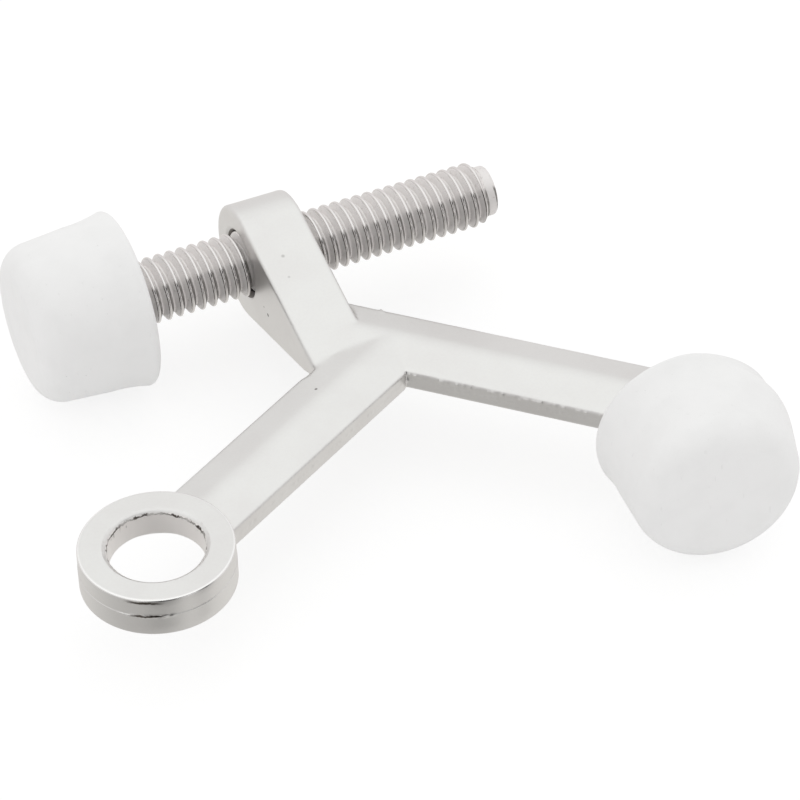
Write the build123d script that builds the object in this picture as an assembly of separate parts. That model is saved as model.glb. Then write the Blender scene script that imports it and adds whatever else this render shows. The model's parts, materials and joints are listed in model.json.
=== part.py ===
from build123d import *
from math import cos, radians, sin
import os

# Hinge-pin door stop: a cast body with a ring for the hinge pin, an adjusting screw
# with a rubber bumper, and a second rubber bumper on a fixed arm.
#
# Frame: the origin is the middle of the hinge-pin bore, +Z runs up the hinge pin,
# +X runs along the adjusting screw away from its bumper, and the casting is
# symmetric about the XY plane.  All sizes are in millimetres.

# --- ring for the hinge pin -------------------------------------------------
RING_R = 8.65
RING_HALF_H = 2.5
BORE_R = 5.35
BORE_TOP_CHAMFER = 0.4
SINK_TOP_Z = -0.75        # below this the bore opens into a deep countersink
RING_EDGE_ROUND = 0.2

# --- arms: a flat-sided bar with a low roof above and below ------------------
ELBOW = (37.4, 21.15)     # where the two ridges meet
RING_ARM_W = 9.2
FIXED_ARM_W = 9.35
FIXED_ARM_DEG = -43.8
ARM_EDGE_HALF_H = 1.25
ARM_RIDGE_HALF_H = 2.4
ARM_ROOT = 8.5            # how far the fixed arm runs on into the lug
INNER_CORNER_ROUND = 0.9

# --- threaded lug ------------------------------------------------------------
SCREW_Y = 43.0
LUG_X = (27.35, 34.8)
LUG_R = 7.1
LUG_FLANK_DEG = 15.7
LUG_EDGE_ROUND = 0.45

# --- 5/16-18 UNC thread ------------------------------------------------------
PITCH = 25.4 / 18
CREST_R = 3.93
ROOT_R = 3.07
RIDGE_FOOT_HALF_W = 0.60
RIDGE_TOP_HALF_W = 0.11
RIDGE_SUNK = 0.15         # the ridge reaches this far into the core
THREAD_PHASE_X = 16.35    # an outer ridge crosses the +Y side of the screw here
THREAD_GAP = 0.12         # running clearance all round the ridge
NUT_BORE_R = 3.33
LUG_SINK = 0.45

# --- adjusting screw ---------------------------------------------------------
SCREW_TIP_X = 59.7
TIP_PLAIN_L = 1.2         # plain end, turned down to the thread's root
TIP_CONE_L = 0.8
TIP_ROUND = 0.25
SHANK_INSIDE_L = 4.6      # bumper back face to the thin side of the head
HEAD_R = 5.6
HEAD_T = 2.2
SHANK_R = 3.3
SHANK_NECK_AT = 3.4       # the plain neck behind the head starts this deep

# --- rubber bumpers, both from one mould --------------------------------------
BUMPER_L = 13.4
BUMPER_LIP_R = 10.6
BUMPER_LIP_ROUND = 0.7
BUMPER_FLARE_L = 4.3      # the lip sweeps in to the side over this length
BUMPER_NECK_R = 9.93
BUMPER_SIDE_R = 9.75
BUMPER_NOSE_L = 3.3
BUMPER_FACE_R = 6.75
HEAD_GAP = 0.15           # the screw turns freely inside its bumper
ADJUSTABLE_BACK_X = 13.3
FIXED_BACK = (61.55, -4.7)
FIXED_FACE_DEG = -98.9    # the way the fixed bumper faces, from +X

# --- peg that holds the fixed bumper -------------------------------------------
PEG_R = 2.6
PEG_L = 4.6
PEG_HEAD_R = 4.8
PEG_HEAD_T = 2.2
ARM_END_HALF_W = 8.5      # trims the arm's end to stay behind the bumper

OVER = 1.0                # cutters run this far past the faces they open

RING_ARM_DIR = Vector(ELBOW[0], ELBOW[1], 0).normalized()
FIXED_ARM_DIR = Vector(cos(radians(FIXED_ARM_DEG)), sin(radians(FIXED_ARM_DEG)), 0)
FIXED_FACE_DIR = Vector(cos(radians(FIXED_FACE_DEG)), sin(radians(FIXED_FACE_DEG)), 0)
ELBOW_POINT = Vector(ELBOW[0], ELBOW[1], 0)
FIXED_BACK_POINT = Vector(FIXED_BACK[0], FIXED_BACK[1], 0)


def plane_across(origin, direction):
    """A plane square to a level direction, with its own Y axis pointing up."""
    return Plane(origin=origin, x_dir=Vector(-direction.Y, direction.X, 0), z_dir=direction)


def turned(points, plane):
    """Revolve a closed outline of (along, radius) points about a plane's normal."""
    outline = make_face(Polyline([(radius, along) for along, radius in points], close=True))
    solid = revolve(Plane.XZ * outline, axis=Axis.Z)
    return plane * solid


def arm_bar(start, direction, length, width):
    """A bar with upright sides and a low ridge along its top and its bottom."""
    half = width / 2
    section = Polyline(
        (-half, -ARM_EDGE_HALF_H),
        (0, -ARM_RIDGE_HALF_H),
        (half, -ARM_EDGE_HALF_H),
        (half, ARM_EDGE_HALF_H),
        (0, ARM_RIDGE_HALF_H),
        (-half, ARM_EDGE_HALF_H),
        close=True,
    )
    face = plane_across(start, direction) * make_face(section)
    return extrude(face, amount=length, dir=direction)


def ring_arm():
    """The bar from the ring to the elbow, mitred where the fixed arm begins."""
    bar = arm_bar(Vector(0, 0, 0), RING_ARM_DIR, ELBOW_POINT.length + ARM_ROOT, RING_ARM_W)
    mitre = plane_across(ELBOW_POINT, (RING_ARM_DIR + FIXED_ARM_DIR).normalized())
    return split(bar, bisect_by=mitre, keep=Keep.BOTTOM)


def fixed_arm():
    """The bar from inside the lug to the seat of the fixed bumper."""
    start = ELBOW_POINT - FIXED_ARM_DIR * ARM_ROOT
    reach = (FIXED_BACK_POINT - start).length + FIXED_ARM_W
    bar = arm_bar(start, FIXED_ARM_DIR, reach, FIXED_ARM_W)
    seat = plane_across(FIXED_BACK_POINT, FIXED_FACE_DIR)
    bar = split(bar, bisect_by=seat, keep=Keep.BOTTOM)
    far_side = seat.location * Pos(ARM_END_HALF_W, 0, 0)
    trim = far_side * Box(
        FIXED_ARM_W,
        2 * ARM_RIDGE_HALF_H + 2 * OVER,
        FIXED_ARM_W,
        align=(Align.MIN, Align.CENTER, Align.CENTER),
    )
    return bar - trim


def lug():
    """The teardrop that stands on the elbow and carries the screw."""
    flank = radians(LUG_FLANK_DEG)
    apex_y = SCREW_Y - LUG_R / sin(flank)
    touch_y = SCREW_Y - LUG_R * sin(flank)
    touch_z = LUG_R * cos(flank)
    taper = make_face(Polyline((apex_y, 0), (touch_y, touch_z), (touch_y, -touch_z), close=True))
    profile = taper + Pos(SCREW_Y, 0) * Circle(LUG_R)
    face = plane_across(Vector(LUG_X[0], 0, 0), Vector(1, 0, 0)) * profile
    solid = extrude(face, amount=LUG_X[1] - LUG_X[0])
    end_faces = solid.faces().sort_by(Axis.X)
    rims = end_faces[0].edges() + end_faces[-1].edges()
    return fillet(rims, LUG_EDGE_ROUND)


def ridge_section(extra):
    """Corners (radius, along) of the thread's ridge, grown by a clearance."""
    foot_r = ROOT_R - RIDGE_SUNK + extra
    foot = RIDGE_FOOT_HALF_W + extra
    top_r = CREST_R + extra
    top = RIDGE_TOP_HALF_W + extra / 2
    return [(foot_r, foot), (top_r, top), (top_r, -top), (foot_r, -foot)]


def thread_ridge(first_x, turns, extra=0.0):
    """A right-hand helical ridge about the screw's axis."""
    start = first_x - THREAD_PHASE_X
    crossing = THREAD_PHASE_X + round(start / PITCH) * PITCH
    helix = Helix(PITCH, PITCH * turns, ROOT_R)
    section = Plane(origin=(0, 0, 0), x_dir=(1, 0, 0), z_dir=helix % 0)
    outline = Polyline(ridge_section(extra), close=True)
    ridge = sweep(section * make_face(outline), path=helix, is_frenet=True)
    along_x = Plane(origin=(crossing, SCREW_Y, 0), x_dir=(0, 1, 0), z_dir=(1, 0, 0))
    return along_x * ridge


def lug_hole():
    """The threaded hole through the lug, opened at both mouths."""
    depth = LUG_X[1] - LUG_X[0]
    mouth_r = CREST_R + THREAD_GAP + LUG_SINK
    outline = [
        (-OVER, 0),
        (-OVER, mouth_r + OVER),
        (mouth_r - NUT_BORE_R, NUT_BORE_R),
        (depth - mouth_r + NUT_BORE_R, NUT_BORE_R),
        (depth + OVER, mouth_r + OVER),
        (depth + OVER, 0),
    ]
    start = Plane(origin=(LUG_X[0], SCREW_Y, 0), x_dir=(0, 1, 0), z_dir=(1, 0, 0))
    turns = round(depth / PITCH) + 4
    groove = thread_ridge(LUG_X[0] - 2 * PITCH, turns, THREAD_GAP)
    return turned(outline, start) + groove


def hinge_bore():
    """The bore for the hinge pin: chamfered above, deeply countersunk below."""
    outline = [
        (RING_HALF_H + OVER, 0),
        (RING_HALF_H + OVER, BORE_R + BORE_TOP_CHAMFER + OVER),
        (RING_HALF_H - BORE_TOP_CHAMFER, BORE_R),
        (SINK_TOP_Z, BORE_R),
        (-RING_HALF_H - OVER, BORE_R + SINK_TOP_Z + RING_HALF_H + OVER),
        (-RING_HALF_H - OVER, 0),
    ]
    return turned(outline, Plane.XY)


def headed_peg(plane, peg_r, peg_l, head_r, head_t):
    """A round peg that ends in a wider head with bevelled rims."""
    bevel = head_t / 4
    outline = [
        (0, 0),
        (0, peg_r),
        (peg_l, peg_r),
        (peg_l, head_r - bevel),
        (peg_l + bevel, head_r),
        (peg_l + head_t - bevel, head_r),
        (peg_l + head_t, head_r - bevel),
        (peg_l + head_t, 0),
    ]
    return turned(outline, plane)


def arms():
    """Both arms joined, with the inner corner of the elbow rounded."""
    pair = ring_arm() + fixed_arm()
    uprights = pair.edges().filter_by(Axis.Z)
    inward = (FIXED_ARM_DIR - RING_ARM_DIR).normalized()
    inner_corner = uprights.sort_by_distance(ELBOW_POINT + inward * FIXED_ARM_W)[0]
    return fillet(inner_corner, INNER_CORNER_ROUND)


def cast_body():
    """The one-piece casting: ring, both arms, lug and bumper peg."""
    ring = Cylinder(RING_R, 2 * RING_HALF_H)
    ring = fillet(ring.edges(), RING_EDGE_ROUND)
    seat = plane_across(FIXED_BACK_POINT, FIXED_FACE_DIR)
    peg = headed_peg(seat, PEG_R, PEG_L, PEG_HEAD_R, PEG_HEAD_T)
    body = arms() + lug() + ring + peg
    return body - hinge_bore() - lug_hole()


def threaded_rod():
    """The adjusting screw: flanged head, full thread, plain turned-down tip."""
    back = Plane(origin=(ADJUSTABLE_BACK_X, SCREW_Y, 0), x_dir=(0, 1, 0), z_dir=(1, 0, 0))
    tip = SCREW_TIP_X - ADJUSTABLE_BACK_X
    cone_end = tip - TIP_PLAIN_L
    thread_start = PITCH - SHANK_INSIDE_L
    full_r = CREST_R + THREAD_GAP
    core = [
        (-SHANK_INSIDE_L, 0),
        (-SHANK_INSIDE_L, ROOT_R),
        (tip - TIP_ROUND, ROOT_R),
        (tip, ROOT_R - TIP_ROUND),
        (tip, 0),
    ]
    envelope = [
        (thread_start, 0),
        (thread_start, ROOT_R),
        (thread_start + TIP_CONE_L, full_r),
        (cone_end - TIP_CONE_L, full_r),
        (cone_end, ROOT_R),
        (cone_end, 0),
    ]
    turns = round((tip + SHANK_INSIDE_L) / PITCH) + 1
    ridge = thread_ridge(ADJUSTABLE_BACK_X - SHANK_INSIDE_L, turns)
    ridge = ridge & turned(envelope, back)
    head_plane = Plane(origin=back.origin, x_dir=(0, 1, 0), z_dir=(-1, 0, 0))
    neck_l = SHANK_INSIDE_L - SHANK_NECK_AT
    head = headed_peg(head_plane.offset(SHANK_NECK_AT), SHANK_R, neck_l, HEAD_R, HEAD_T)
    return turned(core, back) + ridge + head


def bumper_blank(plane):
    """Outer shape of a rubber bumper: flared lip behind, rounded nose in front."""
    flat_r = BUMPER_LIP_R - BUMPER_LIP_ROUND
    neck_at = BUMPER_LIP_ROUND + BUMPER_FLARE_L
    nose_start = BUMPER_L - BUMPER_NOSE_L
    lip_slope = (2 * (BUMPER_NECK_R - BUMPER_LIP_R), BUMPER_FLARE_L)
    lip = CenterArc((flat_r, BUMPER_LIP_ROUND), BUMPER_LIP_ROUND, -90, 90)
    flare = Spline(
        (BUMPER_LIP_R, BUMPER_LIP_ROUND),
        (BUMPER_NECK_R, neck_at),
        tangents=[lip_slope, (BUMPER_SIDE_R - BUMPER_NECK_R, nose_start - neck_at)],
    )
    side = Line((BUMPER_NECK_R, neck_at), (BUMPER_SIDE_R, nose_start))
    nose = EllipticalCenterArc(
        (BUMPER_FACE_R, nose_start),
        BUMPER_SIDE_R - BUMPER_FACE_R,
        BUMPER_NOSE_L,
        start_angle=0,
        arc_size=90,
    )
    face = Line((BUMPER_FACE_R, BUMPER_L), (0, BUMPER_L))
    spine = Line((0, BUMPER_L), (0, 0))
    back = Line((0, 0), (flat_r, 0))
    outline = make_face([lip, flare, side, nose, face, spine, back])
    return plane * revolve(Plane.XZ * outline, axis=Axis.Z)


def adjustable_bumper():
    """Bumper on the screw, hollowed so that the screw's head turns inside it."""
    back = Plane(origin=(ADJUSTABLE_BACK_X, SCREW_Y, 0), x_dir=(0, 1, 0), z_dir=(-1, 0, 0))
    cavity = headed_peg(
        back,
        CREST_R + HEAD_GAP,
        SHANK_INSIDE_L - HEAD_GAP,
        HEAD_R + HEAD_GAP,
        HEAD_T + 2 * HEAD_GAP,
    )
    return bumper_blank(back) - cavity


def fixed_bumper():
    """Bumper pressed over the peg of the fixed arm."""
    seat = plane_across(FIXED_BACK_POINT, FIXED_FACE_DIR)
    return bumper_blank(seat) - headed_peg(seat, PEG_R, PEG_L, PEG_HEAD_R, PEG_HEAD_T)


os.makedirs("parts", exist_ok=True)
for make in (cast_body, threaded_rod, adjustable_bumper, fixed_bumper):
    export_step(make(), "parts/" + make.__name__ + ".step")
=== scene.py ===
"""Hinge-pin door stop: a satin nickel casting, a plated adjusting screw and two white rubber bumpers."""

import json
import logging
import math
from dataclasses import dataclass, field
from enum import Enum
from functools import reduce
from typing import Any, Callable, Sequence

import bmesh
import bpy
from mathutils import Matrix, Vector


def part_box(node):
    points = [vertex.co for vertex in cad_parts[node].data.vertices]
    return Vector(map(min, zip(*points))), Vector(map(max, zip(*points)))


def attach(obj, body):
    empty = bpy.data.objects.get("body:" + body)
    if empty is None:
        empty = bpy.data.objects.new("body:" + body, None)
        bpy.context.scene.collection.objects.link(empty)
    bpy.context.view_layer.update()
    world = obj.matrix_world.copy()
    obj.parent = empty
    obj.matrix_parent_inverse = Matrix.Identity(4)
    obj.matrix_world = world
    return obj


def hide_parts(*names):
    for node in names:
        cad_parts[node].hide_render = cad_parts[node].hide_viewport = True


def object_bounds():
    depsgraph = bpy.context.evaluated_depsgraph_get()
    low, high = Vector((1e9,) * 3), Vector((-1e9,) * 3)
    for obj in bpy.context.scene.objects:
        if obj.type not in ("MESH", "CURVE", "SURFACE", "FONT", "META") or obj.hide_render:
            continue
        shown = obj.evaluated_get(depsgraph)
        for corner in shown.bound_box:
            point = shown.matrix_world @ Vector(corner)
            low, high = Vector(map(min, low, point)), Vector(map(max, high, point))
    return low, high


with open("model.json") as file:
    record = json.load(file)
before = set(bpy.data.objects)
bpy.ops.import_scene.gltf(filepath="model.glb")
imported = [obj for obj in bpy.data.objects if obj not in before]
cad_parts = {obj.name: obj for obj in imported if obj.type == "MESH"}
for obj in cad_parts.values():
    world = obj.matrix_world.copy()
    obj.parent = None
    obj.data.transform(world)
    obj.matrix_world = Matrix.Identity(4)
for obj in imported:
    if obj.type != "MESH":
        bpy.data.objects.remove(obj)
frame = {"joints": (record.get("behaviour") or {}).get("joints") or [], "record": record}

MM = 0.001
# Metres: how close a point is to a cutting plane to lie on it, and how close two places are to be one.
ON_PLANE = 1e-7
NEAR = 1e-6
CAD_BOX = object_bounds()
log = logging.getLogger("door_stop")

Place = Callable[[Any], bool]
Outline = Sequence[tuple[float, float]]


class Pick(Enum):
    """The kind of mesh element that an edit-mode operator works on."""

    POINTS = 0
    EDGES = 1
    FACES = 2


class Blend(Enum):
    """How one solid is combined with another."""

    JOIN = "UNION"
    CUT = "DIFFERENCE"
    TRIM = "INTERSECT"


def middle(item: Any) -> Vector:
    """Where a mesh element is.

    Args:
        item: A point, an edge or a face.

    Returns:
        The point's place, or the mean of the edge's or the face's corners.
    """
    if isinstance(item, bmesh.types.BMVert):
        return item.co
    return sum((v.co for v in item.verts), Vector()) / len(item.verts)


def level(degrees: float) -> Vector:
    """The level direction at an angle from +X."""
    return Vector((math.cos(math.radians(degrees)), math.sin(math.radians(degrees)), 0))


def ramp(value: float, low: float, high: float) -> float:
    """How far a value has gone from low to high, smoothly.

    Args:
        value: The number to place.
        low: Where the ramp leaves 0.
        high: Where the ramp reaches 1.

    Returns:
        The smoothed share of the way, from 0 to 1.
    """
    share = min(1.0, max(0.0, (value - low) / (high - low)))
    return share * share * (3 - 2 * share)


def bow(start: tuple[float, float], reach: tuple[float, float], quarter: int, steps: int) -> Outline:
    """A quarter of an ellipse as outline points.

    Args:
        start: The ellipse's centre.
        reach: Its half widths.
        quarter: Which quarter is drawn, counted from +X.
        steps: How many steps it has.

    Returns:
        The points, in order.
    """
    angles = [(quarter + i / steps) * math.pi / 2 for i in range(steps + 1)]
    return [(start[0] + reach[0] * math.cos(a), start[1] + reach[1] * math.sin(a)) for a in angles]


class Workpiece:
    """A mesh object on the bench, shaped with Blender's own operators."""

    def __init__(self, name: str) -> None:
        """Takes up the object that was just made.

        Args:
            name: The piece's name.
        """
        self.obj = bpy.context.active_object
        self.obj.name = name
        self.obj.data.name = name

    @staticmethod
    def clear() -> None:
        """Leaves edit mode and deselects everything."""
        if bpy.context.mode != "OBJECT":
            bpy.ops.object.mode_set(mode="OBJECT")
        bpy.ops.object.select_all(action="DESELECT")

    @classmethod
    def block(cls, name: str, low: Sequence[float], high: Sequence[float]) -> "Workpiece":
        """A box between two corners.

        Args:
            name: The piece's name.
            low: The lowest corner.
            high: The highest corner.

        Returns:
            The new piece.
        """
        cls.clear()
        bpy.ops.mesh.primitive_cube_add(size=1, location=(Vector(high) + Vector(low)) / 2)
        bpy.ops.transform.resize(value=Vector(high) - Vector(low))
        return cls(name).settle()

    @classmethod
    def drum(cls, name: str, radius: float, start: Vector, end: Vector, sides: int) -> "Workpiece":
        """A cylinder between two points.

        Args:
            name: The piece's name.
            radius: The cylinder's radius.
            start: The middle of one end.
            end: The middle of the other end.
            sides: How many sides it has.

        Returns:
            The new piece.
        """
        cls.clear()
        bpy.ops.mesh.primitive_cylinder_add(
            vertices=sides,
            radius=radius,
            depth=(end - start).length,
            location=(start + end) / 2,
            rotation=(end - start).to_track_quat("Z", "Y").to_euler(),
        )
        return cls(name).settle()

    @classmethod
    def line(cls, name: str, points: Outline) -> "Workpiece":
        """An open outline in the XZ plane, drawn by extruding one corner of a plane.

        Args:
            name: The piece's name.
            points: The outline's points.

        Returns:
            The new piece, still in edit mode.
        """
        cls.clear()
        bpy.ops.mesh.primitive_plane_add(size=1)
        piece = cls(name)
        piece.select(Pick.POINTS, lambda v: v.index != 0)
        bpy.ops.mesh.delete(type="VERT")
        piece.select(Pick.POINTS, lambda v: True)
        at = middle(bmesh.from_edit_mesh(piece.obj.data).verts[:][0])
        bpy.ops.transform.translate(value=Vector((points[0][0], 0, points[0][1])) - at)
        for (x0, z0), (x1, z1) in zip(points, points[1:]):
            bpy.ops.mesh.extrude_region_move(TRANSFORM_OT_translate={"value": (x1 - x0, 0, z1 - z0)})
        return piece

    @classmethod
    def lathe(cls, name: str, points: Outline, steps: int, where: Matrix | None = None) -> "Workpiece":
        """A solid turned about the Z axis from an outline of radii and heights.

        Args:
            name: The piece's name.
            points: The outline, as radius and height.
            steps: How many steps the turn has.
            where: Where the turned piece goes, with its Z axis.

        Returns:
            The new closed piece.
        """
        piece = cls.line(name, points)
        piece.select(Pick.EDGES, lambda e: True)
        bpy.ops.mesh.spin(steps=steps, angle=2 * math.pi, center=(0, 0, 0), axis=(0, 0, 1))
        piece.close_up()
        return piece.place(where or Matrix())

    def activate(self) -> None:
        """Makes this the one selected and active object."""
        self.clear()
        self.obj.select_set(True)
        bpy.context.view_layer.objects.active = self.obj

    def settle(self) -> "Workpiece":
        """Puts the piece's place, turn and size into its mesh.

        Returns:
            The piece.
        """
        self.activate()
        bpy.ops.object.transform_apply(location=True, rotation=True, scale=True)
        return self

    def place(self, matrix: Matrix) -> "Workpiece":
        """Moves the whole piece and leaves its object at the origin.

        Args:
            matrix: Where it goes.

        Returns:
            The piece.
        """
        self.activate()
        self.obj.matrix_world = matrix
        return self.settle()

    def select(self, kind: Pick, test: Place) -> int:
        """Selects the mesh elements that pass a test, in edit mode.

        Args:
            kind: What is selected.
            test: Says whether an element is wanted.

        Returns:
            How many were selected.
        """
        if bpy.context.view_layer.objects.active is not self.obj or bpy.context.mode != "EDIT_MESH":
            self.activate()
            bpy.ops.object.mode_set(mode="EDIT")
        bpy.ops.mesh.select_mode(type=("VERT", "EDGE", "FACE")[kind.value])
        bpy.ops.mesh.select_all(action="DESELECT")
        mesh = bmesh.from_edit_mesh(self.obj.data)
        wanted = [item for item in (mesh.verts, mesh.edges, mesh.faces)[kind.value] if test(item)]
        for item in wanted:
            item.select_set(True)
        mesh.select_flush_mode()
        bmesh.update_edit_mesh(self.obj.data)
        return len(wanted)

    def shift(self, kind: Pick, test: Place, by: Sequence[float]) -> "Workpiece":
        """Moves the chosen elements.

        Args:
            kind: What is moved.
            test: Says whether an element is wanted.
            by: How far it moves.

        Returns:
            The piece.
        """
        self.select(kind, test)
        bpy.ops.transform.translate(value=by)
        return self

    def slice(self, point: Sequence[float], normal: Sequence[float], cut_off: bool = False) -> "Workpiece":
        """Cuts through the piece with a plane.

        Args:
            point: A point on the plane.
            normal: The plane's normal.
            cut_off: Whether what lies ahead of the plane is taken away and the wound closed.

        Returns:
            The piece.
        """
        self.select(Pick.FACES, lambda f: True)
        bpy.ops.mesh.bisect(
            plane_co=point, plane_no=normal, clear_outer=cut_off, use_fill=cut_off, threshold=ON_PLANE
        )
        return self

    def round_edges(self, test: Place, width: float, segments: int) -> "Workpiece":
        """Bevels the chosen edges.

        Args:
            test: Says whether an edge is wanted.
            width: The bevel's width.
            segments: How many flats the bevel has.

        Returns:
            The piece.
        """
        self.select(Pick.EDGES, test)
        bpy.ops.mesh.bevel(offset=width, segments=segments, affect="EDGES", clamp_overlap=False)
        return self

    def close_up(self) -> "Workpiece":
        """Merges doubled points, drops what has no size and turns the faces outwards.

        Returns:
            The piece.
        """
        self.select(Pick.POINTS, lambda v: True)
        bpy.ops.mesh.remove_doubles(threshold=0.002 * MM)
        bpy.ops.mesh.dissolve_degenerate(threshold=0.0005 * MM)
        self.select(Pick.FACES, lambda f: True)
        bpy.ops.mesh.normals_make_consistent(inside=False)
        return self

    def modify(self, kind: str, **settings: Any) -> "Workpiece":
        """Adds one modifier and applies it.

        Args:
            kind: The modifier's type.
            **settings: Its settings.

        Returns:
            The piece.
        """
        self.activate()
        modifier = self.obj.modifiers.new(kind.title(), kind)
        for key, value in settings.items():
            setattr(modifier, key, value)
        bpy.ops.object.modifier_apply(modifier=modifier.name)
        return self

    def combine(self, tool: "Workpiece", how: Blend) -> "Workpiece":
        """Joins, cuts or trims the piece with another one, which is used up.

        Args:
            tool: The other piece.
            how: What is done with it.

        Returns:
            The piece.
        """
        self.modify("BOOLEAN", operation=how.value, object=tool.obj, solver="EXACT")
        bpy.data.objects.remove(tool.obj)
        return self

    def weigh(self, group: str, weight: Callable[[Vector], float]) -> "Workpiece":
        """Gives every point a weight by its place.

        Args:
            group: The vertex group's name.
            weight: The weight at a place, from 0 to 1.

        Returns:
            The piece.
        """
        self.activate()
        found = self.obj.vertex_groups.new(name=group)
        for point in self.obj.data.vertices:
            share = weight(point.co)
            if share > 0.002:
                found.add([point.index], share, "REPLACE")
        return self

    def finish(self, crease_deg: float) -> bpy.types.Object:
        """Smooths the shading up to a crease angle and leaves edit mode.

        Args:
            crease_deg: Edges sharper than this stay crisp.

        Returns:
            The finished object.
        """
        self.activate()
        self.obj.vertex_groups.clear()
        bpy.ops.object.shade_smooth_by_angle(angle=math.radians(crease_deg))
        self.modify("WEIGHTED_NORMAL", keep_sharp=True, weight=50)
        self.clear()
        return self.obj


class Signal:
    """A number that runs through a material; arithmetic on it adds Math nodes."""

    def __init__(self, bench: "Bench", socket: bpy.types.NodeSocket | None) -> None:
        """Wraps an output.

        Args:
            bench: The node tree that the output belongs to.
            socket: The output, or None for a node that has none.
        """
        self.bench = bench
        self.socket = socket

    def math(self, operation: str, first: Any, second: Any = 0.0) -> "Signal":
        """One Math node.

        Args:
            operation: The node's operation.
            first: Its first value or signal.
            second: Its second value or signal.

        Returns:
            The result.
        """
        return self.bench.node("Math", {"operation": operation}, {0: first, 1: second})

    def __add__(self, other: Any) -> "Signal":
        """The sum."""
        return self.math("ADD", self, other)

    def __radd__(self, other: Any) -> "Signal":
        """The sum, with the number first."""
        return self.math("ADD", other, self)

    def __sub__(self, other: Any) -> "Signal":
        """The difference."""
        return self.math("SUBTRACT", self, other)

    def __rsub__(self, other: Any) -> "Signal":
        """The difference, with the number first."""
        return self.math("SUBTRACT", other, self)

    def __mul__(self, other: Any) -> "Signal":
        """The product."""
        return self.math("MULTIPLY", self, other)

    def __rmul__(self, other: Any) -> "Signal":
        """The product, with the number first."""
        return self.math("MULTIPLY", other, self)

    def __truediv__(self, other: Any) -> "Signal":
        """The quotient."""
        return self.math("DIVIDE", self, other)

    def __pow__(self, other: Any) -> "Signal":
        """The power."""
        return self.math("POWER", self, other)

    def __abs__(self) -> "Signal":
        """The size, without the sign."""
        return self.math("ABSOLUTE", self)

    def most(self, other: Any) -> "Signal":
        """The larger of the two."""
        return self.math("MAXIMUM", self, other)

    def rise(self, low: float, high: float) -> "Signal":
        """A smooth step.

        Args:
            low: Where it is still 0.
            high: Where it has reached 1.

        Returns:
            The step, from 0 to 1.
        """
        sockets = {"Value": self, "From Min": low, "From Max": high}
        return self.bench.node("MapRange", {"interpolation_type": "SMOOTHSTEP"}, sockets)

    def fall(self, low: float, high: float) -> "Signal":
        """A smooth step from 1 down to 0.

        Args:
            low: Where it is still 1.
            high: Where it has reached 0.

        Returns:
            The step, from 1 to 0.
        """
        return 1 - self.rise(low, high)


Colour = tuple[float, float, float]
Point = tuple[float, float, float]


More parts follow.
